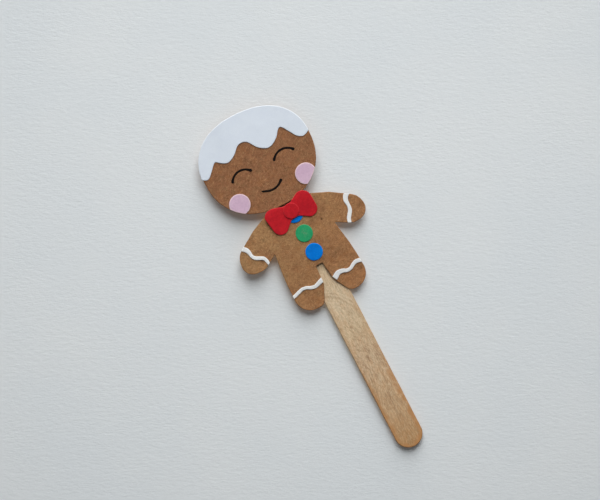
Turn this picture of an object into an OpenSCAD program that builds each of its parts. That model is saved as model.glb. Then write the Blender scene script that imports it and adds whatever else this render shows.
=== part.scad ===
// Gingerbread stick puppet: a figure of layered card glued to a birch craft stick.
// Millimetres. +Z runs up the stick, the face looks along -Y, and +X is the viewer's right.
// The origin is the grip point, on the flat back of the stick.

/* [Craft stick] */
// Length of the stick
stick_length = 114; // [112:1:120]
// Width of the stick
stick_width = 10; // [9:0.5:12]
// Thickness of the stick
stick_thick = 2; // [1.5:0.1:3]
// Height of the grip point above the stick's lower end
grip_height = 25; // [15:1:40]

/* [Card and glue] */
// Thickness of the brown card of the body and head
card_thick = 0.4; // [0.3:0.05:0.6]
// Thickness of the coloured paper of the trim
paper_thick = 0.3; // [0.2:0.05:0.4]
// Thickness of the black ink lines
ink_thick = 0.05; // [0.05:0.01:0.1]
// Thickness of the glue between the stick, the body and the head
glue_thick = 0.7; // [0.1:0.1:1]

/* [Figure on the stick] */
// Height of the feet above the stick's lower end
feet_height = 58.4; // [52:0.2:60]
// Sideways place of the feet on the stick
figure_offset = -0.35; // [-1:0.05:1]
// Lean of the figure to the viewer's left, in degrees
figure_lean = 0.8; // [-2:0.1:2]

/* [Head] */
// Width of the head
head_width = 40.5; // [38:0.1:44]
// Height of the head
head_height = 35.3; // [34:0.1:38]
// Height of the head's centre above the feet
head_rise = 55; // [54:0.1:56]
// Sideways place of the head's centre on the body
head_offset = -1.65; // [-3:0.05:3]
// Tilt of the head to the viewer's right, in degrees
head_tilt = 2; // [-4:0.5:4]
// Fullness of the head's outline: 2 is an ellipse, and more is squarer
head_fullness = 2.25; // [2:0.05:2.5]
// How much wider the head is above its centre than below it
head_flare = 0.03; // [0:0.01:0.06]

/* [Frosting] */
// How far the frosting stands out past the head's edge
frosting_overhang = 0.25; // [0:0.05:0.8]
// Sideways slip of the frosting on the head
frosting_slip = -0.15; // [-0.6:0.05:0.6]

/* [Face] */
// Diameter of the cheeks
cheek_diameter = 7.5; // [6:0.1:9]
// Sideways distance of a cheek from the middle of the head
cheek_spread = 12.7; // [12:0.1:13.5]
// Sideways shift of both cheeks to the viewer's right
cheek_shift = 0.15; // [-0.5:0.05:0.5]
// Distance of the left cheek below the middle of the head
cheek_drop = 11; // [10:0.1:12]
// How much lower the right cheek is glued
cheek_slip = 0.3; // [-0.5:0.1:0.5]
// Width of the pen line
ink_width = 0.8; // [0.5:0.05:1]

/* [Buttons and bow tie] */
// Diameter of the buttons
button_diameter = 6.1; // [5:0.1:6.4]
// Height of the top button above the feet
top_button_height = 32.7; // [32:0.1:33.5]
// Height of the middle button above the feet
middle_button_height = 25.2; // [24.5:0.1:26]
// Height of the bottom button above the feet
bottom_button_height = 17.9; // [17:0.1:18.4]
// Sideways place of the row of buttons on the body
button_offset = 0.5; // [-1:0.1:1]
// Height of the bow tie's knot above the feet
knot_height = 34.2; // [34:0.1:34.6]
// Diameter of the round knot on the bow tie
knot_diameter = 5.5; // [5:0.1:6.4]
// Sideways slip of the knot on the bow tie, to the viewer's right
knot_slip = 0.2; // [-0.4:0.1:0.4]
// Tilt of the bow tie, right lobe up, in degrees
bow_tilt = 5; // [0:0.5:8]

/* [Hidden] */

$fn = 64;
arc_step = 6;      // degrees between the points of a rounded corner
curve_steps = 6;   // points to each stretch of a smooth curve
head_points = 120; // points round the head

kraft = "#9a7350";
kraft_dark = "#906746";
birch = "#c9a983";
clear_glue = "#e6dfcf";
icing = "#eef0f4";
pink = "#d8b0d0";
ink = "#171310";
red = "#b5202f";
blue = "#0b72d6";
green = "#2b9f62";

// Depths of the layers, measured forward from the stick's back.
body_back = stick_thick + glue_thick;
body_front = body_back + card_thick;
head_back = body_front + glue_thick;
head_front = head_back + card_thick;
bow_back = head_front;
knot_back = bow_back + paper_thick;

// Glue, hidden between the layers: [width, height, corner radius] of each patch, and how high
// its lower edge is above the feet.
stick_glue_patch = [8, 25, 3];
stick_glue_height = 17;
neck_glue_patch = [9, 3.2, 1.2];
neck_glue_height = 38.4;
head_glue_patch = [7, 10, 3.2];
head_glue_height = 43.5;
bow_glue_dot = 3;    // diameter of the two dots under the bow tie
bow_glue_spread = 6; // their distance from the knot
bow_glue_drop = 1.5; // and how far they are below it

// The body's right half and its left one, which is cut a little differently. Each runs from the
// notch between the legs out to the hand and up to the neck, which the head covers. A corner is
// [distance from the middle, up, radius], and the feet stand at 0.
right_body = [
    [1.3, 13.3, 0.1], [1.95, 6.3, 5], [5.6, -0.05, 3], [13.9, -0.1, 5.6],
    [13.2, 13.5, 40], [11.65, 23.85, 0.12], [17.2, 20.3, 5], [24.45, 20.65, 4.2],
    [23.45, 28.15, 6], [14.7, 34, 14], [7.2, 37.3, 3], [5.5, 43, 2.5]
];
left_body = [
    [1.3, 13.3, 0.1], [1.65, 6.6, 5], [4.9, -0.15, 3], [13.65, -0.05, 5.8],
    [13.2, 13.5, 40], [11.75, 23.65, 0.12], [17.2, 20.3, 5], [24.65, 20.7, 4.2],
    [23.75, 28.8, 6], [14.5, 34.4, 10], [7.2, 37.4, 3], [5.5, 43, 2.5]
];

// The bow tie's lobes, round its knot, each from the bottom of the waist outwards.
right_lobe = [
    [1.5, -2.8, 0.8], [5, -5.5, 1.9], [8.6, -5.45, 2.8],
    [9.1, 4.2, 3.3], [5.2, 4.3, 1.8], [1.5, 2.7, 0.8]
];
left_lobe = [
    [1.5, -2.8, 0.8], [5, -5.5, 1.9], [8.6, -5.5, 2.8],
    [9.2, 4.25, 2.4], [5.2, 4.3, 3], [1.5, 2.7, 0.8]
];

// Lower edge of the frosting, from the head's middle: drips and peaks, left to right.
frosting_edge = [
    [-26, 7.7], [-23, 5.2], [-21, 2.8], [-18.8, 1.6], [-17, 2.8], [-14, 5.9], [-12, 4.7],
    [-9.7, 3.9], [-6.7, 5.3], [-4.6, 7.4], [-2.7, 8.1], [-0.7, 7.4], [2, 4], [5.4, 2.4],
    [8.8, 4.1], [11.6, 7.1], [13.8, 4.7], [15.6, 2], [17.7, 0.8], [20, 1.6],
    [22, 3.2], [24, 5.7]
];

// Pen lines of the face, each an arc of a circle: [middle from the head's middle, radius, from, to].
left_eye_arc = [[-7.3, -4.87], 4.45, 41, 153];
right_eye_arc = [[9, -4.65], 4.6, 39, 148];
smile_arc = [[0.05, -6], 5.3, 233, 318];

// Middles of the icing strips: each point is [sideways, up, the strip's width there].
left_arm_strip = [
    [-23.2, 33, 1.5], [-21.9, 31.5, 1.5], [-20.9, 30.3, 1.6], [-19.9, 29.2, 1.6],
    [-19.5, 27.8, 1.3], [-19.35, 26.7, 1.2], [-18.6, 25.6, 1.3], [-17.1, 24.75, 1.25],
    [-16, 24.05, 1.25], [-15.55, 23.1, 1.15], [-15.3, 21.7, 1], [-15.1, 20, 1], [-14.9, 18, 1]
];
right_arm_strip = [
    [22.5, 32.5, 1.8], [20.8, 31, 1.8], [19.3, 29.9, 1.75], [18.65, 28.4, 1.6],
    [18.7, 26.8, 1.2], [18.4, 24.9, 1.35], [17.5, 23.6, 1.45], [16.7, 22.5, 1.4],
    [16.25, 21.1, 1.3], [16, 19.5, 1.3], [15.9, 18, 1.3]
];
left_leg_strip = [
    [-17, 7, 1.1], [-15, 7.1, 1.1], [-13, 7.3, 1.2], [-11.2, 7.8, 1.2], [-9.4, 8.3, 1.15],
    [-7.8, 8.1, 1.15], [-6.4, 7.4, 1.2], [-4.9, 7.05, 1.3], [-3.4, 7.45, 1.5],
    [-1.9, 7.9, 1.75], [-0.5, 8.3, 1.9], [1, 8.8, 1.9]
];
right_leg_strip = [
    [0.8, 6.2, 1.9], [2.5, 6.4, 1.9], [4.3, 7.5, 1.75], [6.1, 7.4, 1.5],
    [7.6, 6.8, 1.3], [9.1, 6.9, 1.2], [10.5, 7.7, 1.3], [12, 8.1, 1.4],
    [14.5, 7.5, 1.4], [16.5, 7, 1.4]
];

function flat(p) = [p[0], p[1]];
function heading(a, b) = atan2(b[1] - a[1], b[0] - a[0]);

// A closed outline through [x, y, radius] corners, with an arc at every corner.
function rounded(corners) = [
    for (i = [0 : len(corners) - 1])
        each corner_arc(corners[(i + len(corners) - 1) % len(corners)], corners[i],
                        corners[(i + 1) % len(corners)])
];

function corner_arc(before, here, after) =
    let (inward = heading(before, here), outward = heading(here, after),
         turn = (outward - inward + 540) % 360 - 180,
         side = turn > 0 ? 1 : -1,
         reach = here[2] * tan(abs(turn) / 2),
         start = flat(here) - reach * [cos(inward), sin(inward)],
         centre = start + side * here[2] * [-sin(inward), cos(inward)],
         steps = max(1, ceil(abs(turn) / arc_step)))
    [for (k = [0 : steps])
        let (a = inward - side * 90 + turn * k / steps) centre + here[2] * [cos(a), sin(a)]];

// The right half's corners and then the left half's, mirrored, as one closed list.
function both_halves(right, left) = concat(right, [
    for (i = [len(left) - 1 : -1 : 0]) [-left[i][0], left[i][1], left[i][2]]
]);

// A smooth curve through points. The first and last of them only steer it.
function smooth(points) = [
    for (i = [1 : len(points) - 3], k = [0 : curve_steps - 1])
        smooth_at(points[i - 1], points[i], points[i + 1], points[i + 2], k / curve_steps),
    points[len(points) - 2]
];

function smooth_at(p0, p1, p2, p3, t) = (
    2 * p1 + (p2 - p0) * t + (2 * p0 - 5 * p1 + 4 * p2 - p3) * t ^ 2
    + (3 * p1 - p0 - 3 * p2 + p3) * t ^ 3
) / 2;

// One long side of a strip whose middle line is a list of [x, y, width]: side is 1 or -1.
function strip_side(line, side) = [
    for (i = [0 : len(line) - 1])
        let (a = heading(line[max(i - 1, 0)], line[min(i + 1, len(line) - 1)]))
        flat(line[i]) + side * line[i][2] / 2 * [-sin(a), cos(a)]
];

function reversed(list) = [for (i = [len(list) - 1 : -1 : 0]) list[i]];

function signed_power(value, power) = sign(value) * abs(value) ^ power;

// Point of the head's outline, grown by a margin all round.
function head_point(a, margin) =
    let (up = signed_power(sin(a), 2 / head_fullness))
    [(head_width / 2 + margin) * (1 + head_flare * up) * signed_power(cos(a), 2 / head_fullness),
     (head_height / 2 + margin) * up];

module head_outline(margin = 0)
    polygon([for (i = [0 : head_points - 1]) head_point((i + 0.5) * 360 / head_points, margin)]);

module body_outline() polygon(rounded(both_halves(right_body, left_body)));

module strip_outline(middle) {
    line = smooth(middle);
    polygon(concat(strip_side(line, 1), reversed(strip_side(line, -1))));
}

// A pen line along an arc [middle, radius, from, to], with round ends.
module pen_arc(arc) {
    radius = arc[1];
    from = arc[2];
    to = arc[3];
    half_line = ink_width / 2;
    steps = ceil((to - from) / arc_step);
    angles = [for (k = [0 : steps]) from + (to - from) * k / steps];
    translate(arc[0]) {
        polygon(concat(
            [for (a = angles) (radius + half_line) * [cos(a), sin(a)]],
            [for (a = reversed(angles)) (radius - half_line) * [cos(a), sin(a)]]
        ));
        for (a = [from, to]) translate(radius * [cos(a), sin(a)]) circle(half_line, $fn = 24);
    }
}

// A rounded rectangle [width, height, radius], with its lower edge at 0.
module patch(sizes) {
    side = sizes[0] / 2;
    top = sizes[1];
    radius = sizes[2];
    polygon(rounded([[-side, 0, radius], [side, 0, radius], [side, top, radius], [-side, top, radius]]));
}

// Puts a flat drawing in the layer that starts this far forward of the stick's back.
module layer(back, thick) translate([0, -back, 0]) rotate([90, 0, 0]) linear_extrude(thick) children();

// The figure's own drawing, with the feet at 0 and the body's middle line upright.
module on_figure() translate([figure_offset, feet_height - grip_height]) rotate(figure_lean) children();

// The head's own drawing, about the middle of the head.
module on_head() on_figure() translate([head_offset, head_rise]) rotate(-head_tilt) children();

module craft_stick() {
    end_radius = stick_width / 2;
    color(birch) layer(0, stick_thick) translate([0, -grip_height]) {
        for (y = [end_radius, stick_length - end_radius]) translate([0, y]) circle(end_radius);
        translate([-end_radius, end_radius]) square([stick_width, stick_length - stick_width]);
    }
}

module glue_patch(back, front, sizes, height)
    color(clear_glue) layer(back, front - back) on_figure() translate([0, height]) patch(sizes);
module stick_glue() glue_patch(stick_thick, body_back, stick_glue_patch, stick_glue_height);
module neck_glue() glue_patch(body_front, head_back, neck_glue_patch, neck_glue_height);
module head_glue() glue_patch(stick_thick, head_back, head_glue_patch, head_glue_height);

module body() color(kraft) layer(body_back, card_thick) on_figure() body_outline();

module head() color(kraft_dark) layer(head_back, card_thick) on_head() head_outline();

module frosting() color(icing) layer(head_front, paper_thick) on_head() intersection() {
    translate([frosting_slip, 0]) head_outline(frosting_overhang);
    polygon(concat(smooth(frosting_edge), [[head_width, head_height], [-head_width, head_height]]));
}

module cheek(middle) color(pink) layer(head_front, paper_thick) on_head() intersection() {
    head_outline();
    translate(middle) circle(d = cheek_diameter);
}
module left_cheek() cheek([cheek_shift - cheek_spread, -cheek_drop]);
module right_cheek() cheek([cheek_shift + cheek_spread, -cheek_drop - cheek_slip]);

module ink_line(arc) color(ink) layer(head_front, ink_thick) on_head() pen_arc(arc);
module left_eye_line() ink_line(left_eye_arc);
module right_eye_line() ink_line(right_eye_arc);
module smile_line() ink_line(smile_arc);

module button(shade, height) color(shade) layer(body_front, paper_thick) on_figure()
    translate([button_offset, height]) circle(d = button_diameter);
module top_button() button(blue, top_button_height);
module middle_button() button(green, middle_button_height);
module bottom_button() button(blue, bottom_button_height);

// The bow tie's own drawing, about the middle of its knot.
module on_knot() on_figure() translate([0, knot_height]) rotate(bow_tilt) children();

module bow_glue() color(clear_glue) layer(body_front, bow_back - body_front) on_knot()
    for (side = [-1, 1]) translate([side * bow_glue_spread, -bow_glue_drop]) circle(d = bow_glue_dot);

module bow_tie() color(red) layer(bow_back, paper_thick) on_knot()
    polygon(rounded(both_halves(right_lobe, left_lobe)));

module bow_knot() color(red) layer(knot_back, paper_thick) on_knot()
    translate([knot_slip, 0]) circle(d = knot_diameter);

module icing_strip(middle) color(icing) layer(body_front, paper_thick) on_figure() intersection() {
    body_outline();
    strip_outline(middle);
}
module left_arm_icing() icing_strip(left_arm_strip);
module right_arm_icing() icing_strip(right_arm_strip);
module left_leg_icing() icing_strip(left_leg_strip);
module right_leg_icing() icing_strip(right_leg_strip);

craft_stick();
stick_glue();
neck_glue();
head_glue();
body();
head();
frosting();
left_cheek();
right_cheek();
left_eye_line();
right_eye_line();
smile_line();
top_button();
middle_button();
bottom_button();
bow_glue();
bow_tie();
bow_knot();
left_arm_icing();
right_arm_icing();
left_leg_icing();
right_leg_icing();
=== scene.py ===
# Gingerbread stick puppet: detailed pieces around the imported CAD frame.
# Metres in the scene. The shape code works in millimetres and converts when it makes a mesh.
import math

import bpy
import numpy as np
from mathutils import Matrix, Vector, noise
from mathutils.geometry import delaunay_2d_cdt


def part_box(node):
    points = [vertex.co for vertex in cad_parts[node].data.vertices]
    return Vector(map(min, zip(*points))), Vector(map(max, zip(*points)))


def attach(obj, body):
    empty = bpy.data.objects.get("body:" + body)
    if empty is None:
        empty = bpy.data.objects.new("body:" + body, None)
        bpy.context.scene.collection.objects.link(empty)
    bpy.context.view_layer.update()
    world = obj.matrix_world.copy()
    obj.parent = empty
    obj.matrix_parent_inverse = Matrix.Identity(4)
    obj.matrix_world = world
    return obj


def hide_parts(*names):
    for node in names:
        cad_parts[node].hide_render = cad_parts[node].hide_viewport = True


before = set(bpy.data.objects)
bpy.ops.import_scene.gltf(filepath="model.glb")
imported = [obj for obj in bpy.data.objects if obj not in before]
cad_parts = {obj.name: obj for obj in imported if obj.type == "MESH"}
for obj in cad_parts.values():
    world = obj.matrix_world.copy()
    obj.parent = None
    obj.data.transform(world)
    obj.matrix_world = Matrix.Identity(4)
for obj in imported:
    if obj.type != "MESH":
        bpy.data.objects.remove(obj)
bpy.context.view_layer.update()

MM = 0.001


# ---------------------------------------------------------------- where things are, in millimetres
def node_box(node):
    """The lower and the upper corner of a CAD node's box."""
    return tuple([float(c) / MM for c in corner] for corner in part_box(node))


def node_middle(node):
    lo, hi = node_box(node)
    return tuple((a + b) / 2 for a, b in zip(lo, hi))


STICK_LO, STICK_HI = node_box("craft_stick")
STICK_X = (STICK_LO[0] + STICK_HI[0]) / 2
STICK_HALF = (STICK_HI[0] - STICK_LO[0]) / 2
STICK_TIP = STICK_LO[2]
BODY_LO, BODY_HI = node_box("body")
BODY_FRONT, FEET = BODY_LO[1], BODY_LO[2]
BOW_BACK = node_box("bow_tie")[1][1]
KNOT_X, _, KNOT_Z = node_middle("bow_knot")
GLUE_BOTTOM = node_box("stick_glue")[0][2]
PAD_Z = node_middle("head_glue")[2]
PAD_TOP = node_box("head_glue")[1][2]
FLECK = (STICK_X + 7.46, 0, STICK_TIP + 85.3)  # one dark speck in the card, on the chest
PICTURE_LEAN = 27.33  # degrees that the stick leans in the view, its top to the left


# ---------------------------------------------------------------- outlines of the CAD nodes
FACES_FRONT = -0.9  # a face whose normal's Y is below this is part of a front face
SLIP = 0.5          # smaller outlines are slips of rounding between triangles
TOO_CLOSE = 0.02    # nearer neighbours on an outline are one point
HEX = 0.866         # between rows of a hexagonal grid, in pitches
ROW_SHARE = 0.93    # a point this share of its row's distance from the edge, or nearer, is left out
GRID_SHARE = 0.55   # the grid starts this share of a pitch inside the last row
MITRE = 0.6         # a corner's normal is at most 1 / 0.6 long
SEED_STEP = 7.31    # between the noises of two seeds


def smoothstep(low, high, value):
    t = min(1.0, max(0.0, (value - low) / (high - low)))
    return t * t * (3 - 2 * t)


def outlines(node):
    """The outlines of a flat node's front face: lists of (x, z), anticlockwise seen from the front."""
    mesh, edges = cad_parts[node].data, set()
    for face in mesh.polygons:
        if face.normal.y < FACES_FRONT:
            corners = [np.round(np.array(mesh.vertices[v].co) / MM, 4) for v in face.vertices]
            ring = [(x, z) for x, _, z in corners]
            for a, b in zip(ring, ring[1:] + ring[:1]):
                if (b, a) in edges:
                    edges.remove((b, a))
                elif a != b:
                    edges.add((a, b))
    after, loops = dict(sorted(edges)), []
    while after:
        here, loop = min(after), []
        while here in after:
            loop.append(here)
            here = after.pop(here)
        if np.ptp(np.array(loop), axis=0).max() > SLIP:
            loops.append(np.array(loop))
    return loops


def turns(loop):
    """The turn at each point of a closed loop, in degrees."""
    a, b = loop - np.roll(loop, 1, 0), np.roll(loop, -1, 0) - loop
    return np.degrees(np.arctan2(a[:, 0] * b[:, 1] - a[:, 1] * b[:, 0], (a * b).sum(1)))


def resampled(loop, step, corner=25):
    """The loop with points about a step apart. Its corners sharper than that many degrees stay."""
    gap = np.linalg.norm(loop - np.roll(loop, 1, 0), axis=1)
    loop = loop[gap > TOO_CLOSE]
    corners = list(np.flatnonzero(np.abs(turns(loop)) > corner)) or [0]
    points = []
    for start, end in zip(corners, corners[1:] + [corners[0] + len(loop)]):
        span = np.array([loop[i % len(loop)] for i in range(start, end + 1)])
        along = np.concatenate([[0], np.cumsum(np.linalg.norm(np.diff(span, axis=0), axis=1))])
        count = max(1, round(along[-1] / step))
        at = np.arange(count) * along[-1] / count
        points += list(zip(np.interp(at, along, span[:, 0]), np.interp(at, along, span[:, 1])))
    return np.array(points)


def normals(loop):
    """Outward normal at each point of an anticlockwise loop, longer at a corner, so that an inset
    keeps its width."""
    a, b = loop - np.roll(loop, 1, 0), np.roll(loop, -1, 0) - loop
    a, b = (v / np.maximum(np.linalg.norm(v, axis=1), 1e-9)[:, None] for v in (a, b))
    both = np.stack([a[:, 1] + b[:, 1], -a[:, 0] - b[:, 0]], 1)
    both /= np.maximum(np.linalg.norm(both, axis=1), 1e-9)[:, None]
    share = (both * np.stack([a[:, 1], -a[:, 0]], 1)).sum(1)
    return both / np.maximum(share, MITRE)[:, None]


def pushed(loop, amounts):
    """The loop moved outwards by an amount at each point."""
    return loop + normals(loop) * np.array(amounts)[:, None]


def wobble(x, z, seed, size):
    """Smooth noise from -1 to 1 with features of that size in millimetres."""
    return noise.noise(Vector((x / size, z / size, seed * SEED_STEP)))


def hand_cut(loop, seed, amount):
    """The outline as scissors leave it: long shallow errors, and a trace of fine ones."""
    return pushed(loop, [
        amount * wobble(x, z, seed, 3.2) + amount * 0.35 * wobble(x, z, seed + 50, 0.8) for x, z in loop])


def distance_to(loop, points):
    """Distance of each point from a closed loop."""
    a, d = loop, np.roll(loop, -1, 0) - loop
    length = np.maximum((d * d).sum(1), 1e-12)
    out = np.empty(len(points))
    for i, p in enumerate(points):
        t = np.clip(((p - a) * d).sum(1) / length, 0, 1)
        out[i] = np.sqrt((((a + d * t[:, None]) - p) ** 2).sum(1).min())
    return out


def inside(loop, points):
    """Which points lie inside the loop."""
    x0, z0 = loop.T
    x1, z1 = np.roll(loop, -1, 0).T
    px, pz = points[:, 0, None], points[:, 1, None]
    dz = np.where(z1 == z0, 1e-12, z1 - z0)
    crossing = ((z0 > pz) != (z1 > pz)) & (px < (x1 - x0) * (pz - z0) / dz + x0)
    return crossing.sum(1) % 2 == 1


def hex_grid(lo, hi, pitch):
    """The points of a hexagonal grid between two corners."""
    columns, rows = int((hi[0] - lo[0]) / pitch) + 2, int((hi[1] - lo[1]) / (pitch * HEX)) + 2
    return np.array([(lo[0] + pitch * (i + 0.5 * (j % 2)), lo[1] + pitch * HEX * j)
                     for j in range(rows) for i in range(columns)])


def fill_points(loop, rows, pitch):
    """Points inside the loop: rows at set distances from the edge, then a hexagonal grid."""
    out = normals(loop)
    chosen = []
    for row in rows:
        ring = loop - out * row
        chosen.append(ring[inside(loop, ring) & (distance_to(loop, ring) > row * ROW_SHARE)])
    grid = hex_grid(loop.min(0), loop.max(0), pitch)
    grid = grid[inside(loop, grid)]
    if len(grid):
        chosen.append(grid[distance_to(loop, grid) > rows[-1] + GRID_SHARE * pitch])
    return np.concatenate(chosen)


# ---------------------------------------------------------------- how the layers bend
RAISED = 0.09                        # the card stands this far forward of its CAD place
LEFT_CURL, RIGHT_CURL = 0.58, -0.24  # the body's sides, forwards
LEFT_BEND, RIGHT_BEND = 0.55, 0.70   # the feet, backwards
BEND_TOP, BEND_HEIGHT = 17, 14.5     # the bend starts this far above the feet, and is full that much lower
BOW_LEAN = math.radians(4.2)         # the bow tie's turn, with its right lobe higher
BOW_TOP, BOW_FALL = 2.4, 7.6         # it leans from this far above its knot, over that height
BOW_DROP = 0.80                      # and covers this share of its gap to the body


def card_lift(x, z):
    """How far the body stands forward of flat: its feet bend back, and its left side curls forward."""
    left = x < STICK_X
    past_stick = max(0.0, abs(x - STICK_X) - STICK_HALF + 0.6)
    waves = 0.10 * smoothstep(0, 8, past_stick) * wobble(x, z, 3, 9)
    curl = (LEFT_CURL if left else RIGHT_CURL) * smoothstep(4, 17, past_stick)
    bend = (LEFT_BEND if left else RIGHT_BEND) * min(1.0, max(0.0, (FEET + BEND_TOP - z) / BEND_HEIGHT))
    return RAISED + waves + curl - bend


def head_lift(x, z):
    """The head is glued on a little askew, its right side further forward, and is not quite flat."""
    away = math.hypot(x - STICK_X, z - PAD_Z)
    tilt = 0.012 + 0.016 * smoothstep(6, 16, abs(x - STICK_X))
    return RAISED + tilt * (x - STICK_X) + 0.05 * smoothstep(4, 12, away) * wobble(x, z, 5, 14)


def bow_lift(x, z):
    """The bow tie leans: its top lies on the chin, its lower edge on the body, and its ends curl."""
    up = (z - KNOT_Z) * math.cos(BOW_LEAN) - (x - KNOT_X) * math.sin(BOW_LEAN)
    down = min(1.0, max(0.0, (BOW_TOP - up) / BOW_FALL))
    return -BOW_DROP * (BODY_FRONT - BOW_BACK) * down + 0.06 * smoothstep(4, 10, abs(x - KNOT_X))


def trim_lift(base, seed, amount):
    """A glued-down trim on a bent layer, with an edge that stands off here and there."""
    def lift(x, z):
        return base(x, z) + amount * max(0.0, wobble(x, z, seed, 4))
    return lift


def stick_lift(x, z):
    """A tumbled stick is very slightly uneven."""
    return 0.03 * wobble(x, z, 11, 12)


def flat_lift(x, z):
    """Glue stays flat against the stick."""
    return 0.0


# ---------------------------------------------------------------- slabs
# How an edge is rounded: [how far in, share of the thickness from the front].
PAPER_EDGE = ((0.09, 0), (0.035, 0.13), (0, 0.34), (0, 0.66), (0.035, 0.87), (0.09, 1))
STICK_EDGE = ((0.24, 0), (0.14, 0.02), (0.07, 0.06), (0.03, 0.13), (0.01, 0.22), (0, 0.36),
              (0, 0.60), (0.03, 0.76), (0.12, 0.88), (0.28, 0.96), (0.5, 1))
INK_EDGE = ((0.16, 0), (0.07, 0.12), (0.02, 0.4), (0, 1))
SHARP = math.radians(55)  # faces that meet at more than this have a sharp edge between them


class Slab:
    """A closed sheet from outlines, with rounded edges and a fine mesh over its faces, bent by a lift.
    "rim" holds each point's distance from the cut edge. "back" runs from 0 in front to 1 behind."""

    def __init__(self, front, back, lift, back_lift):
        self.front, self.back, self.lift, self.back_lift = front, back, lift, back_lift
        self.verts, self.faces, self.rim, self.side = [], [], [], []

    def put(self, x, z, depth, rim):
        y = self.front + (self.back - self.front) * depth
        y = y - self.lift(x, z) * (1 - depth) - self.back_lift(x, z) * depth
        self.verts.append((x, y, z))
        self.rim.append(rim)
        self.side.append(float(depth))

    def wall(self, loop, edge):
        """The rings of points round the edge, from the front to the back, and the faces between them."""
        out, count, first = normals(loop), len(loop), len(self.verts)
        for inset, depth in edge:
            for x, z in loop - out * inset:
                self.put(x, z, depth, inset)
        for ring in range(len(edge) - 1):
            a = first + ring * count
            for i in range(count):
                j = (i + 1) % count
                self.faces.append((a + j, a + i, a + count + i, a + count + j))

    def cap(self, loop, inset, depth, base, rows, pitch):
        """The front or back face, inside the ring of points that starts at the base."""
        rim_loop = loop - normals(loop) * inset
        points = np.concatenate([rim_loop, fill_points(rim_loop, rows, pitch)])
        made = delaunay_2d_cdt([Vector(p) for p in points], [], [list(range(len(loop)))], 1, 1e-6)
        deep = distance_to(rim_loop, np.array([tuple(v) for v in made[0]]))
        where = []
        for k, v in enumerate(made[0]):
            source = [s for s in made[3][k] if s < len(loop)]
            where.append(base + source[0] if source else len(self.verts))
            if not source:
                self.put(v.x, v.y, depth, inset + float(deep[k]))
        for triangle in made[2]:
            corners = [where[k] for k in triangle]
            (ax, _, az), (bx, _, bz), (cx, _, cz) = (self.verts[c] for c in corners)
            turn = (bx - ax) * (cz - az) - (bz - az) * (cx - ax)
            self.faces.append(tuple(reversed(corners) if (turn > 0) == (depth == 1) else corners))

    def mesh(self, name):
        mesh = bpy.data.meshes.new(name)
        mesh.from_pydata([Vector(v) * MM for v in self.verts], [], self.faces)
        mesh.validate()
        mesh.shade_smooth()
        mesh.set_sharp_from_angle(angle=SHARP)
        for label, values in (("rim", self.rim), ("back", self.side)):
            mesh.attributes.new(label, "FLOAT", "POINT").data.foreach_set("value", values)
        return mesh


def slab(name, node, loops, edge, lift, rows=(0.22, 0.6), pitch=0.9, back_lift=None):
    """An object from outlines, as thick as its CAD node. The rows are of points along its edge, and
    the pitch is that of the points further in."""
    lo, hi = node_box(node)
    body = Slab(lo[1], hi[1], lift, back_lift or lift)
    for loop in loops:
        first = len(body.verts)
        body.wall(loop, edge)
        last = first + (len(edge) - 1) * len(loop)
        body.cap(loop, edge[0][0], 0, first, rows, pitch)
        body.cap(loop, edge[-1][0], 1, last, rows, pitch)
    piece = bpy.data.objects.new(name, body.mesh(name))
    bpy.context.scene.collection.objects.link(piece)
    return piece


def stands_for(piece, node, material):
    """The piece takes the place of its CAD node, and wears the material."""
    piece.data.materials.append(material)
    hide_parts(node)
    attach(piece, "root")


def cut_sheet(node, name, material, seed, lift, rough=0.045, step=0.35):
    """A flat piece cut by hand from card or paper."""
    loops = [hand_cut(resampled(loop, step), seed, rough) for loop in outlines(node)]
    stands_for(slab(name, node, loops, PAPER_EDGE, lift), node, material)


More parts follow.
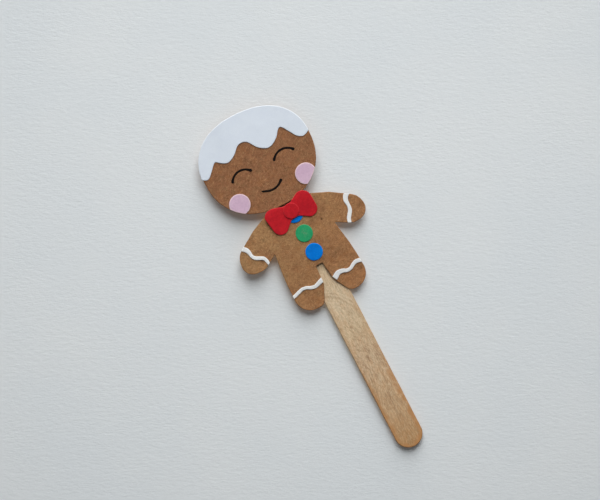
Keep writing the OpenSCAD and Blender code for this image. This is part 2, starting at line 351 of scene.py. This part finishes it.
# ---------------------------------------------------------------- node helper
class Paint:
    """A material being made. Most of the methods add nodes to it and give back their output."""

    def __init__(self, name, seed, **surface):
        self.material = bpy.data.materials.new(name)
        self.material.use_nodes = True
        self.tree = self.material.node_tree
        self.shader = self.tree.nodes["Principled BSDF"]
        for socket, value in surface.items():
            self.shader.inputs[socket.replace("_", " ")].default_value = value
        place = self.add("ShaderNodeTexCoord").outputs["Object"]
        shift = (seed * 13.7, seed * 5.3, seed * 9.1)
        self.place = self.vector("MULTIPLY_ADD", place, (1 / MM,) * 3, shift)
        self.true_place = self.vector("SCALE", place, scale=1 / MM)
        self.x, _, self.z = self.add("ShaderNodeSeparateXYZ", {"Vector": self.true_place}).outputs

    def add(self, kind, inputs=(), **settings):
        """A new node, with its inputs set or linked."""
        node = self.tree.nodes.new(kind)
        for key, value in settings.items():
            setattr(node, key, value)
        for key, value in dict(inputs).items():
            self.put(node.inputs[key], value)
        return node

    def put(self, socket, value):
        if isinstance(value, bpy.types.NodeSocket):
            self.tree.links.new(value, socket)
        else:
            socket.default_value = value

    def vector(self, operation, *values, scale=None):
        node = self.add("ShaderNodeVectorMath", operation=operation)
        for socket, value in zip(node.inputs, values):
            self.put(socket, value)
        if scale is not None:
            self.put(node.inputs["Scale"], scale)
        return node.outputs[0]

    def away_from(self, place, scale=(1, 1, 1)):
        """The distance from a place in millimetres, with each axis scaled."""
        step = self.vector("MULTIPLY", self.vector("SUBTRACT", self.true_place, place), scale)
        return self.add("ShaderNodeVectorMath", {0: step}, operation="LENGTH").outputs["Value"]

    def math(self, operation, *values):
        node = self.add("ShaderNodeMath", operation=operation)
        for socket, value in zip(node.inputs, values):
            self.put(socket, value)
        return node.outputs[0]

    def times(self, first, *others):
        for other in others:
            first = self.math("MULTIPLY", first, other)
        return first

    def stretched(self, turn=0.0, scale=(1, 1, 1), place=None):
        """The place turned about Y by some degrees and scaled, for streaks."""
        spin = self.add("ShaderNodeVectorRotate", {
            "Vector": place or self.place, "Angle": math.radians(turn)}, rotation_type="Y_AXIS")
        return self.add("ShaderNodeMapping", {"Vector": spin.outputs[0], "Scale": scale}).outputs[0]

    def noise(self, size, detail=2.0, roughness=0.5, distortion=0.0, place=None):
        """Noise from 0 to 1 with features of about that size in millimetres."""
        return self.add("ShaderNodeTexNoise", {
            "Vector": place or self.place, "Scale": 1 / size, "Detail": detail, "Roughness": roughness,
            "Distortion": distortion}).outputs["Fac"]

    def cells(self, size, place=None):
        """The distance from the nearest of scattered points, about that many millimetres apart."""
        return self.add("ShaderNodeTexVoronoi", {
            "Vector": place or self.place, "Scale": 1 / size}).outputs["Distance"]

    def attribute(self, name):
        return self.add("ShaderNodeAttribute", attribute_name=name).outputs["Fac"]

    def span(self, value, low, high, to_low=0.0, to_high=1.0, kind="SMOOTHSTEP"):
        """The value's way from low to high, carried over to another range."""
        return self.add("ShaderNodeMapRange", {
            "Value": value, "From Min": low, "From Max": high, "To Min": to_low, "To Max": to_high},
            interpolation_type=kind).outputs["Result"]

    def ramp(self, value, stops):
        node = self.add("ShaderNodeValToRGB", {"Fac": value})
        line = node.color_ramp
        while len(line.elements) < len(stops):
            line.elements.new(0.5)
        for element, (at, colour) in zip(line.elements, stops):
            element.position = at
            element.color = (*colour, 1)
        return node.outputs["Color"]

    def mix(self, share, a, b):
        """The colour a, with that share of the colour b."""
        node = self.add("ShaderNodeMix", data_type="RGBA")
        for socket, value in zip((node.inputs[0], node.inputs[6], node.inputs[7]), (share, a, b)):
            self.put(socket, value if isinstance(value, (bpy.types.NodeSocket, float)) else (*value, 1))
        return node.outputs[2]

    def over(self, colour, mask, share, tone):
        """The colour with up to that share of a tone over it, where the mask says."""
        return self.mix(self.times(mask, share), colour, tone)

    def shade(self, colour, value, amount):
        """The colour made up to that share lighter or darker as a value runs from 0.25 to 0.75."""
        either_way = self.times(self.span(value, 0.25, 0.75, -1, 1, "LINEAR"), amount)
        return self.vector("SCALE", colour, scale=self.math("ADD", either_way, 1.0))

    def bump(self, height, depth, under=None):
        """A bump whose height of 1 is that depth in millimetres, on top of the bump under it."""
        inputs = {"Height": height, "Distance": depth * MM, "Strength": 1.0}
        if under is not None:
            inputs["Normal"] = under
        return self.add("ShaderNodeBump", inputs).outputs["Normal"]

    def finish(self, colour, roughness, normal):
        for socket, value in (("Base Color", colour), ("Roughness", roughness), ("Normal", normal)):
            self.put(self.shader.inputs[socket], value)
        return self.material


def srgb(red, green, blue):
    """A colour as the eye names it, 0 to 255, in linear light."""
    shares = (red / 255, green / 255, blue / 255)
    return tuple(c / 12.92 if c <= 0.04045 else ((c + 0.055) / 1.055) ** 2.4 for c in shares)


# ---------------------------------------------------------------- brown kraft card
PALE_FIBRE, DARK_FIBRE = srgb(204, 158, 112), srgb(96, 58, 34)
PALE_SPECK, DARK_SPECK = srgb(212, 176, 134), srgb(66, 38, 22)
WARM_PULP, DULL_PULP = srgb(178, 118, 70), srgb(140, 116, 80)
# CUT_EDGE_SHADE is painted shade along the rounded cut edge of the brown card.
FLECK_TONE, CUT_EDGE_SHADE, SOAKED_CARD = srgb(70, 42, 26), srgb(112, 76, 48), srgb(104, 70, 44)
# Felted fibres: [direction in degrees, whether they are pale].
FIBRES = ((12, True), (68, False), (118, True), (160, False), (95, False), (140, True))


def pulp(p, tones, cloud):
    """Cloudy pulp. The two tones run from the figure's upper left to its lower right."""
    across = p.span(p.x, BODY_LO[0], BODY_HI[0], 0, 0.6, "LINEAR")
    down = p.span(p.z, BODY_LO[2], BODY_HI[2], 0.6, 0, "LINEAR")
    colour = p.mix(p.span(p.math("ADD", across, down), 0.3, 1.05), *tones)
    colour = p.mix(p.span(p.noise(5, 3, 0.6), 0.40, 0.72), colour, cloud)
    colour = p.shade(colour, p.noise(1.5, 2, 0.5, 0.4), 0.15)
    colour = p.shade(colour, p.noise(0.6, 3, 0.7), 0.26)
    rows = p.stretched(-PICTURE_LEAN, (0.4, 1, 1.2))
    return p.shade(colour, p.noise(0.55, 2, 0.6, 0.2, rows), 0.16)


def felted(p, colour, height):
    """The colour and the height with fibres over them."""
    for turn, pale in FIBRES:
        streak = p.noise(0.34, 2, 0.5, 0.6, p.stretched(turn, (1.8, 1, 0.22)))
        fibre = p.span(streak, 0.58, 0.70)
        colour = p.over(colour, fibre, 0.42 if pale else 0.40, PALE_FIBRE if pale else DARK_FIBRE)
        height = p.math("MULTIPLY_ADD", fibre, 0.35, height)
    return colour, height


def specked(p, colour):
    """The colour with dark and pale specks and two tints of pulp over it."""
    dark = p.times(p.span(p.cells(1.5), 0.10, 0.05), p.span(p.noise(2.4, 0), 0.56, 0.60))
    colour = p.over(colour, dark, 0.7, DARK_SPECK)
    pale = p.times(p.span(p.cells(1.1, p.stretched(30)), 0.11, 0.05), p.span(p.noise(3.1, 0), 0.58, 0.63))
    colour = p.over(colour, pale, 0.5, PALE_SPECK)
    tint = p.noise(2.6, 2, 0.6)
    colour = p.mix(p.span(tint, 0.52, 0.72, 0, 0.22), colour, WARM_PULP)
    return p.mix(p.span(tint, 0.48, 0.28, 0, 0.20), colour, DULL_PULP)


def soaked(p):
    """Where glue darkens the back of the card: along the stick, from the glue's lower to its upper end."""
    from_stick = p.math("ABSOLUTE", p.math("SUBTRACT", p.x, STICK_X))
    reach = p.math("MULTIPLY_ADD", p.noise(4, 3, 0.6), 3.0, STICK_HALF - 0.9)
    beside = p.span(p.math("SUBTRACT", from_stick, reach), 0.35, -0.1)
    above = p.span(p.z, GLUE_BOTTOM - 1, GLUE_BOTTOM + 3)
    below = p.span(p.z, PAD_TOP + 3, PAD_TOP)
    return p.times(beside, p.attribute("back"), above, below)


def kraft(name, seed, tones, cloud, fleck=None):
    """Kraft card with painted shade along its cut edge. A fleck is the place of one large dark speck."""
    p = Paint(name, seed, Specular_IOR_Level=0.12)
    colour, height = felted(p, pulp(p, tones, cloud), p.noise(0.5, 4, 0.65))
    colour = specked(p, colour)
    if fleck is not None:
        colour = p.mix(p.span(p.away_from(fleck, (1.5, 0, 1)), 0.65, 0.25, 0, 0.62), colour, FLECK_TONE)
    # Painted shade: the card darkens within about 0.12 mm of its cut edge.
    colour = p.over(colour, p.span(p.attribute("rim"), 0.12, 0.02), 0.40, CUT_EDGE_SHADE)
    colour = p.over(colour, soaked(p), 0.38, SOAKED_CARD)
    normal = p.bump(p.noise(3.5, 2, 0.5), 0.12, p.bump(height, 0.07))
    return p.finish(colour, p.span(p.noise(0.8, 3), 0.3, 0.7, 0.80, 0.95), normal)


# ---------------------------------------------------------------- coloured paper
# The tones of a paper: its face, its deeper parts, and its pale core, which its cut edge shows and which
# there also stands in for painted highlight.
FROSTING = (srgb(224, 231, 240), srgb(222, 229, 239), srgb(236, 239, 244))
PINK = (srgb(217, 185, 205), srgb(210, 177, 199), srgb(245, 220, 216))
BLUE = (srgb(1, 122, 217), srgb(0, 114, 209), srgb(56, 148, 222))
GREEN = (srgb(48, 160, 105), srgb(43, 150, 98), srgb(112, 190, 142))
RED = (srgb(203, 35, 44), srgb(191, 31, 42), srgb(228, 88, 90))
WHITE = (srgb(236, 235, 233), srgb(231, 231, 230), srgb(246, 245, 242))
RUBBED = srgb(112, 140, 108)


def paper(name, seed, tones, grain, mottle, edge_share=0.5, edge_width=0.18, waves=0.05, scuff=None):
    """Smooth craft paper: faint mottle, fine tooth, and a cut edge in the pale core tone, which is partly
    the paper's core and partly painted highlight.
    A scuff is the place of a rubbed patch."""
    face, deep, core_and_highlight = tones
    p = Paint(name, seed, Specular_IOR_Level=0.08)
    colour = p.mix(p.span(p.noise(3.2, 3, 0.6), 0.32, 0.68), deep, face)
    colour = p.shade(colour, p.noise(0.28, 3, 0.6), grain)
    colour = p.shade(colour, p.noise(0.8, 3, 0.65), mottle)
    if scuff is not None:
        patch = p.span(p.away_from(scuff, (1, 0, 1)), 1.9, 0.6)
        rubbed = p.times(patch, p.span(p.noise(0.7, 3, 0.7, 0.6), 0.46, 0.60))
        colour = p.over(colour, rubbed, 0.45, RUBBED)
    fibre = p.span(p.noise(0.35, 2, 0.5, 0.4, p.stretched(35, (1.8, 1, 0.25))), 0.60, 0.72)
    colour = p.over(colour, fibre, 0.10, core_and_highlight)
    patchy = p.span(p.noise(0.7, 2, 0.6), 0.25, 0.65, 0.45, 1.0)
    # The cut edge takes the core tone, unevenly: partly the paper's pale core, partly painted highlight.
    edge_core_and_highlight = p.times(p.span(p.attribute("rim"), edge_width, 0.03), patchy)
    colour = p.over(colour, edge_core_and_highlight, edge_share, core_and_highlight)
    normal = p.bump(p.noise(2.6, 2, 0.5), waves, p.bump(p.noise(0.3, 3, 0.6), 0.03))
    return p.finish(colour, p.span(p.noise(0.6, 3), 0.3, 0.7, 0.62, 0.80), normal)


# ---------------------------------------------------------------- birch
# The wood's colour from the stick's tip to its upper end: [share of the length, tone].
BIRCH_TONES = (
    (0.0, srgb(182, 140, 94)), (0.13, srgb(191, 156, 118)), (0.22, srgb(196, 163, 127)),
    (0.31, srgb(200, 171, 139)), (0.40, srgb(210, 184, 149)), (0.50, srgb(218, 196, 164)),
    (0.62, srgb(208, 183, 148)), (1.0, srgb(210, 185, 150)))
DARK_GRAIN, PALE_GRAIN = srgb(138, 94, 58), srgb(232, 212, 180)
DARK_RIPPLE, PALE_RIPPLE = srgb(142, 98, 60), srgb(228, 204, 166)
WARM_WOOD, DULL_WOOD = srgb(206, 152, 104), srgb(190, 168, 136)
ARCH_TONE, DASH_TONE, PORE_TONE = srgb(148, 108, 72), srgb(112, 80, 54), srgb(118, 80, 50)
# HANDLED is the warmer tone of handled edges. RIM_SHADE is painted shade on the stick's rounded rim.
HANDLED, RIM_SHADE = srgb(186, 132, 82), srgb(150, 112, 76)
# Growth lines: [radius, half width, share of the tone].
ARCHES = ((14.2, 0.75, 0.34), (13.1, 0.40, 0.10), (15.4, 0.55, 0.20), (16.6, 0.40, 0.08), (12.0, 0.40, 0.14))
ARCH_CENTRE = (STICK_X - 9.4, STICK_LO[1], STICK_TIP + 48.1)
# Dashes along the grain: [x from the middle, lower end, upper end, half width, share of the tone].
DASHES = ((-0.4, 33, 36.2, 0.32, 0.42), (0.1, 10, 22, 0.28, 0.18), (2.3, 36.5, 37.6, 0.35, 0.5),
          (1.6, 24, 28, 0.25, 0.25), (-1.9, 27, 31, 0.25, 0.25))


def fibrous(p, colour, along, flecks):
    """The colour with short fine fibres over it, strongest a quarter of the way up from the tip."""
    rough = p.span(along, 0.10, 0.24, 0.13, 0.30)
    rough = p.math("MULTIPLY_ADD", p.span(along, 0.38, 0.28), 0.15, rough)
    colour = p.over(colour, p.span(flecks, 0.52, 0.30), rough, DARK_GRAIN)
    colour = p.over(colour, p.span(flecks, 0.48, 0.70), rough, PALE_GRAIN)
    return p.shade(colour, p.noise(0.30, 2, 0.6, 0.0, p.stretched(8, (1, 1, 0.7))), 0.16)


def rippled(p, colour, along, bent):
    """The colour with a slanting ripple over the stick's second quarter, and warm and dull clouds."""
    ripple = p.noise(0.7, 3, 0.6, 0.5, p.stretched(34, (1.3, 1, 0.32), bent))
    middle = p.times(p.span(along, 0.22, 0.30), p.span(along, 0.50, 0.40))
    colour = p.over(colour, p.span(ripple, 0.50, 0.30), p.times(middle, 0.42), DARK_RIPPLE)
    colour = p.over(colour, p.span(ripple, 0.50, 0.70), p.times(middle, 0.30), PALE_RIPPLE)
    warm = p.noise(1.6, 3, 0.6, 0.2, p.stretched(0, (1, 1, 0.4)))
    colour = p.mix(p.span(warm, 0.45, 0.75, 0, 0.22), colour, WARM_WOOD)
    return p.mix(p.span(warm, 0.50, 0.25, 0, 0.16), colour, DULL_WOOD)


def arched(p, colour):
    """The colour with arched growth lines over it, on the front, from 47 mm above the tip."""
    ring = p.math("MULTIPLY_ADD", p.noise(3, 2), 1.4, p.away_from(ARCH_CENTRE))
    front = p.math("SUBTRACT", 1.0, p.attribute("back"))
    upper = p.times(p.span(p.z, STICK_TIP + 47, STICK_TIP + 53), front)
    for radius, width, share in ARCHES:
        off = p.math("ABSOLUTE", p.math("SUBTRACT", ring, radius))
        colour = p.over(colour, p.times(p.span(off, width, 0.0), upper), share, ARCH_TONE)
    return colour


def dashed(p, colour):
    """The colour with dark dashes over it, a little unsteady across the grain."""
    sway = p.noise(1.5, 2, place=p.stretched(0, (1, 1, 0.4)))
    across = p.math("MULTIPLY_ADD", sway, 0.8, p.math("SUBTRACT", p.x, 0.4))
    for x, low, high, width, share in DASHES:
        off = p.math("ABSOLUTE", p.math("SUBTRACT", across, STICK_X + x))
        from_low = p.span(p.z, STICK_TIP + low, STICK_TIP + low + 1)
        from_high = p.span(p.z, STICK_TIP + high, STICK_TIP + high - 1)
        dash = p.times(p.span(off, width, 0.05), p.times(from_low, from_high))
        colour = p.over(colour, dash, share, DASH_TONE)
    return colour


def pored(p, bent):
    """Where the wood has a pore."""
    holes = p.cells(0.8, p.stretched(-4, (2.6, 1, 0.45), bent))
    pick = p.noise(2.0, 1, place=p.stretched(0, (1, 1, 0.5)))
    return p.times(p.span(holes, 0.26, 0.10), p.span(pick, 0.46, 0.58))


def handled_and_rim_shade(p, colour, along):
    """The colour with warmer edges, most of all near the tip, where fingers hold the stick, and with painted
    shade along the rounded rim.
    """
    rim = p.attribute("rim")
    edge = p.math("ADD", rim, p.span(p.noise(3, 2), 0.3, 0.7, -0.7, 0.7))
    colour = p.over(colour, p.span(edge, 2.0, 0.3), p.span(along, 0.34, 0.16, 0.20, 0.75), HANDLED)
    # Painted shade: the stick darkens within about 0.45 mm of its rim.
    return p.mix(p.span(rim, 0.45, 0.1, 0.0, 0.18), colour, RIM_SHADE)


def birch(name, seed):
    """Rotary-cut birch, with its grain along the stick."""
    p = Paint(name, seed, Specular_IOR_Level=0.2)
    along = p.span(p.z, STICK_TIP, STICK_HI[2], 0, 1, "LINEAR")
    wavy = p.add("ShaderNodeCombineXYZ", {"X": p.times(p.noise(9, 2, 0.5), 3.0)}).outputs[0]
    bent = p.vector("ADD", p.place, wavy)
    grain = p.noise(0.42, 4, 0.65, 0.2, p.stretched(3, (1, 1, 0.11), bent))
    flecks = p.noise(0.40, 2, 0.6, 0.6, p.stretched(-6, (1.15, 1, 0.30)))
    pore = pored(p, bent)
    colour = p.ramp(along, BIRCH_TONES)
    colour = p.shade(colour, p.noise(2.2, 3, 0.55, 0.3, p.stretched(4, (1, 1, 0.2), bent)), 0.10)
    colour = p.shade(colour, grain, 0.20)
    colour = fibrous(p, colour, along, flecks)
    colour = rippled(p, colour, along, bent)
    colour = dashed(p, arched(p, colour))
    colour = handled_and_rim_shade(p, p.over(colour, pore, 0.40, PORE_TONE), along)
    normal = p.bump(p.math("ADD", pore, flecks), -0.04, p.bump(grain, 0.05))
    return p.finish(colour, p.span(grain, 0.3, 0.7, 0.52, 0.70), normal)


# ---------------------------------------------------------------- ink and glue
BLACK, WORN_BLACK, THIN_INK = srgb(10, 8, 7), srgb(24, 17, 14), srgb(70, 44, 28)
YELLOW_GLUE, MILKY_GLUE = srgb(214, 204, 182), srgb(236, 230, 216)


def ink(name, seed):
    """Black fibre-tip pen on card: dense, slightly uneven, thinner at the rim of the stroke."""
    p = Paint(name, seed, Specular_IOR_Level=0.08)
    rim = p.span(p.attribute("rim"), 0.14, 0.0)
    thin = p.times(rim, p.span(p.noise(0.5, 3), 0.3, 0.7, 0.2, 1.0))
    colour = p.mix(p.span(p.noise(0.4, 3, 0.6), 0.3, 0.7), BLACK, WORN_BLACK)
    colour = p.over(colour, thin, 0.45, THIN_INK)
    return p.finish(colour, p.span(p.noise(0.5, 2), 0.3, 0.7, 0.55, 0.75), p.bump(p.noise(0.35, 3), 0.02))


def dried_glue(name, seed):
    """White craft glue, dried milky, with drag marks."""
    p = Paint(name, seed, Specular_IOR_Level=0.5)
    colour = p.mix(p.span(p.noise(1.6, 3, 0.6), 0.3, 0.7), YELLOW_GLUE, MILKY_GLUE)
    height = p.noise(0.9, 3, 0.55, 0.5, p.stretched(15, (1, 1, 0.5)))
    return p.finish(colour, p.span(p.noise(0.7, 2), 0.3, 0.7, 0.22, 0.42), p.bump(height, 0.08))


# ---------------------------------------------------------------- pieces
def make_stick():
    """The birch stick, with worn edges."""
    loops = [hand_cut(resampled(loop, 0.5, corner=40), 21, 0.05) for loop in outlines("craft_stick")]
    piece = slab("stick", "craft_stick", loops, STICK_EDGE, stick_lift, rows=(0.3, 0.8), pitch=0.8)
    stands_for(piece, "craft_stick", birch("birch_wood", 1))


def make_glue(node, seed, spread, front, back, material):
    """A lot of dried glue, with the uneven outline of something squeezed flat between two layers."""
    loops = []
    for loop in outlines(node):
        loop = resampled(loop, 0.4)
        loops.append(pushed(loop, [spread * (0.35 + 0.65 * wobble(x, z, seed, 2.4)) for x, z in loop]))
    piece = slab(node + "_smear", node, loops, PAPER_EDGE, front, back_lift=back)
    stands_for(piece, node, material)


def pen_swell(loop, seed):
    """The loop of a pen line, a little wider where the pen rests: at its two ends."""
    apart = np.linalg.norm(loop[:, None] - loop[None], axis=2)
    a, b = np.unravel_index(apart.argmax(), apart.shape)
    ends = np.minimum(apart[:, a], apart[:, b])
    return pushed(loop, [0.19 * math.exp(-end ** 2) - 0.01 + 0.035 * wobble(x, z, seed, 0.7)
                         for end, (x, z) in zip(ends, loop)])


def make_ink(node, seed, material):
    """A pen line on the head."""
    loops = [pen_swell(resampled(loop, 0.16, corner=60), seed) for loop in outlines(node)]
    piece = slab(node + "_stroke", node, loops, INK_EDGE, head_lift, rows=(0.12,), pitch=0.4)
    stands_for(piece, node, material)


def make_card():
    """The body and the head, cut from brown card."""
    body = kraft("kraft_body", 4, (srgb(165, 125, 85), srgb(165, 116, 78)), srgb(149, 105, 71), FLECK)
    cut_sheet("body", "body_card", body, 41, card_lift)
    head = kraft("kraft_head", 5, (srgb(149, 102, 71), srgb(149, 102, 71)), srgb(142, 97, 68))
    cut_sheet("head", "head_card", head, 42, head_lift)


def make_face():
    """The frosting and the cheeks, on the head."""
    white = paper("paper_frosting", 6, FROSTING, 0.02, 0.01, edge_share=0.6, edge_width=0.35, waves=0.015)
    cut_sheet("frosting", "frosting_paper", white, 43, trim_lift(head_lift, 61, 0.07))
    for side, seed in (("left", 7), ("right", 8)):
        pink = paper(f"paper_{side}_cheek", seed, PINK, 0.06, 0.05, edge_share=0.75, edge_width=0.5)
        cut_sheet(side + "_cheek", side + "_cheek_paper", pink, 44 + seed,
                  trim_lift(head_lift, 62 + seed, 0.08), rough=0.03)


def make_buttons():
    """Three punched discs. The green one is rubbed."""
    for node, slot, tones, seed in (("top_button", "blue_paper", BLUE, 9),
                                    ("middle_button", "green_paper", GREEN, 10),
                                    ("bottom_button", "blue_paper", BLUE, 11)):
        scuff = node_middle(node) if tones is GREEN else None
        cut_sheet(node, node + "_paper", paper("paper_" + node, seed, tones, 0.08, 0.08, scuff=scuff),
                  45 + seed, trim_lift(card_lift, 70 + seed, 0.07), rough=0.03)


def make_bow():
    """The bow tie and its knot."""
    cut_sheet("bow_tie", "bow_tie_paper", paper("paper_bow", 12, RED, 0.07, 0.10), 57,
              bow_lift, rough=0.05)
    cut_sheet("bow_knot", "bow_knot_paper", paper("paper_knot", 13, RED, 0.07, 0.10), 58,
              trim_lift(bow_lift, 82, 0.06), rough=0.04)


def make_icing():
    """A wavy strip across each limb."""
    for limb, seed in (("left_arm", 14), ("right_arm", 15), ("left_leg", 16), ("right_leg", 17)):
        node = limb + "_icing"
        cut_sheet(node, node + "_strip", paper("paper_" + node, seed, WHITE, 0.02, 0.02),
                  60 + seed, trim_lift(card_lift, 90 + seed, 0.20), rough=0.04, step=0.3)


make_stick()
glue_paint = dried_glue("glue_dried", 2)
ink_paint = ink("ink_black", 3)
make_glue("stick_glue", 31, 0.5, card_lift, flat_lift, glue_paint)
make_glue("neck_glue", 32, 0.3, head_lift, card_lift, glue_paint)
make_glue("head_glue", 33, 0.4, head_lift, flat_lift, glue_paint)
make_glue("bow_glue", 34, 0.3, bow_lift, card_lift, glue_paint)
make_card()
make_face()
make_buttons()
make_bow()
make_icing()
for line, line_seed in (("left_eye_line", 51), ("right_eye_line", 52), ("smile_line", 53)):
    make_ink(line, line_seed, ink_paint)


# ---------------------------------------------------------------- stage
LEAN = math.radians(PICTURE_LEAN)
RIGHT = Vector((math.cos(LEAN), 0, -math.sin(LEAN)))  # the picture's right
UP = Vector((math.sin(LEAN), 0, math.cos(LEAN)))      # and its up
OUT = Vector((0, -1, 0))                              # towards the camera
VIEW_WIDTH = 209.06 * MM
VIEW_CENTRE = Vector(((STICK_X - 4.18) * MM, STICK_LO[1] * MM, (STICK_TIP + 79.1) * MM))
CAMERA_AWAY = 0.6
FLOOR_GAP, FLOOR_HALF = 0.0003, 0.3
DOME_RADIUS, DOME_STEPS, DOME_RINGS = 4.0, 48, 24
FILL_LIGHT = 0.145
CAMERA_RAYS_ONLY = ("visible_diffuse", "visible_glossy", "visible_transmission", "visible_shadow")


def aimed(direction_up, direction_out):
    """A rotation whose local Y is up in the picture and whose local Z looks out along a direction."""
    z = direction_out.normalized()
    x = direction_up.cross(z).normalized()
    return Matrix((x, z.cross(x), z)).transposed().to_4x4()


def placed(name, data, away, direction_up, direction_out):
    """A camera or a lamp that looks at the view's centre from some way off."""
    thing = bpy.data.objects.new(name, data)
    spot = VIEW_CENTRE + direction_out * away
    thing.matrix_world = Matrix.Translation(spot) @ aimed(direction_up, direction_out)
    bpy.context.scene.collection.objects.link(thing)
    return thing


def make_camera():
    """The photograph's view: straight down on the puppet, with the picture's width at its distance."""
    data = bpy.data.cameras.new("camera")
    data.sensor_width = 36
    data.lens = data.sensor_width * CAMERA_AWAY / VIEW_WIDTH
    data.clip_start, data.clip_end = 0.01, 10
    bpy.context.scene.camera = placed("camera", data, CAMERA_AWAY, UP, OUT)


def make_lamp(name, toward, distance, width, height, power, colour):
    """A soft lamp that shines on the puppet from a direction. Its height is measured away from the floor."""
    data = bpy.data.lights.new(name, "AREA")
    data.shape = "RECTANGLE"
    data.size, data.size_y = width, height
    data.energy, data.color = power, colour
    placed(name, data, distance, OUT, toward.normalized()).visible_camera = False


def sheet_material():
    """The pale floor: plain paper with a soft tooth, and painted shade that makes it a little darker away
    from the view's centre, where the light falls off.
    It fades out further off, and is seen from its face only."""
    p = Paint("floor_paper", 0, Specular_IOR_Level=0.2)
    colour = p.mix(p.span(p.noise(40, 3), 0.3, 0.7), srgb(228, 231, 232), srgb(225, 229, 231))
    colour = p.shade(colour, p.noise(0.9, 4, 0.7), 0.012)
    radius = p.away_from(VIEW_CENTRE / MM)
    # Painted shade: the floor darkens towards the view's edges, standing in for light falling off.
    dark = p.math("POWER", p.math("DIVIDE", p.math("MINIMUM", radius, 140.0), 121.0), 2.0)
    colour = p.vector("SCALE", colour, scale=p.math("MULTIPLY_ADD", dark, -0.058, 1.0))
    tooth = p.noise(0.85, 4, 0.7, 0.0, p.stretched(-PICTURE_LEAN, (0.38, 1, 1.15)))
    p.finish(colour, 0.9, p.bump(tooth, 0.10))
    facing = p.add("ShaderNodeNewGeometry").outputs["Backfacing"]
    gone = p.math("MAXIMUM", facing, p.span(radius, 145, 230))
    clear = p.add("ShaderNodeBsdfTransparent").outputs[0]
    both = p.add("ShaderNodeMixShader", {0: gone, 1: p.shader.outputs[0], 2: clear}).outputs[0]
    p.put(p.tree.nodes["Material Output"].inputs["Surface"], both)
    return p.material


def backdrop_material():
    """An even pale grey all round, seen by the camera and lighting nothing."""
    material = bpy.data.materials.new("backdrop_grey")
    material.use_nodes = True
    inputs = material.node_tree.nodes["Principled BSDF"].inputs
    for socket, value in (("Base Color", (0, 0, 0, 1)), ("Specular IOR Level", 0),
                          ("Emission Color", (*srgb(206, 210, 213), 1)), ("Emission Strength", 1)):
        inputs[socket].default_value = value
    return material


def make_ground(name, verts, faces, material):
    """A part of the stage that only the camera sees."""
    mesh = bpy.data.meshes.new(name)
    mesh.from_pydata(verts, [], faces)
    mesh.materials.append(material)
    ground = bpy.data.objects.new(name, mesh)
    bpy.context.scene.collection.objects.link(ground)
    for kind in CAMERA_RAYS_ONLY:
        setattr(ground, kind, False)


def make_floor():
    """A plane just behind the stick, because the puppet lies on its back in the view."""
    y = STICK_HI[1] * MM + FLOOR_GAP
    corners = [(VIEW_CENTRE.x + i * FLOOR_HALF, y, VIEW_CENTRE.z + k * FLOOR_HALF)
               for i, k in ((-1, -1), (1, -1), (1, 1), (-1, 1))]
    make_ground("floor", corners, [(0, 1, 2, 3)], sheet_material())


def make_backdrop():
    """A wide dome, so that views from the side and from behind have a pale ground too."""
    verts, faces = [(0, 0, -DOME_RADIUS), (0, 0, DOME_RADIUS)], []
    for ring in range(1, DOME_RINGS):
        polar = math.pi * ring / DOME_RINGS
        wide = DOME_RADIUS * math.sin(polar)
        for step in range(DOME_STEPS):
            turn = 2 * math.pi * step / DOME_STEPS
            verts.append((wide * math.cos(turn), wide * math.sin(turn), -DOME_RADIUS * math.cos(polar)))
    last = 2 + (DOME_RINGS - 2) * DOME_STEPS
    for s in range(DOME_STEPS):
        t = (s + 1) % DOME_STEPS
        faces += [(0, 2 + s, 2 + t), (1, last + t, last + s)]
        for a in range(2, last, DOME_STEPS):
            b = a + DOME_STEPS
            faces.append((a + s, b + s, b + t, a + t))
    make_ground("backdrop", verts, faces, backdrop_material())


def make_world():
    """A weak even light from all round."""
    world = bpy.data.worlds.new("soft_fill")
    world.use_nodes = True
    shade = world.node_tree.nodes["Background"]
    shade.inputs["Color"].default_value = (0.97, 0.99, 1.0, 1)
    shade.inputs["Strength"].default_value = FILL_LIGHT
    bpy.context.scene.world = world


make_camera()
make_floor()
make_backdrop()
make_world()
make_lamp("key", UP * 0.816 + RIGHT * 0.01 + OUT * 0.578, 1.5, 1.30, 1.75, 36.0, (0.98, 0.995, 1.0))
make_lamp("rear", UP * 0.6 - RIGHT * 0.5 - OUT * 0.9, 1.3, 1.2, 1.2, 16.0, (1.0, 0.99, 0.98))
bpy.context.scene.view_settings.view_transform = "Standard"

bpy.context.view_layer.update()
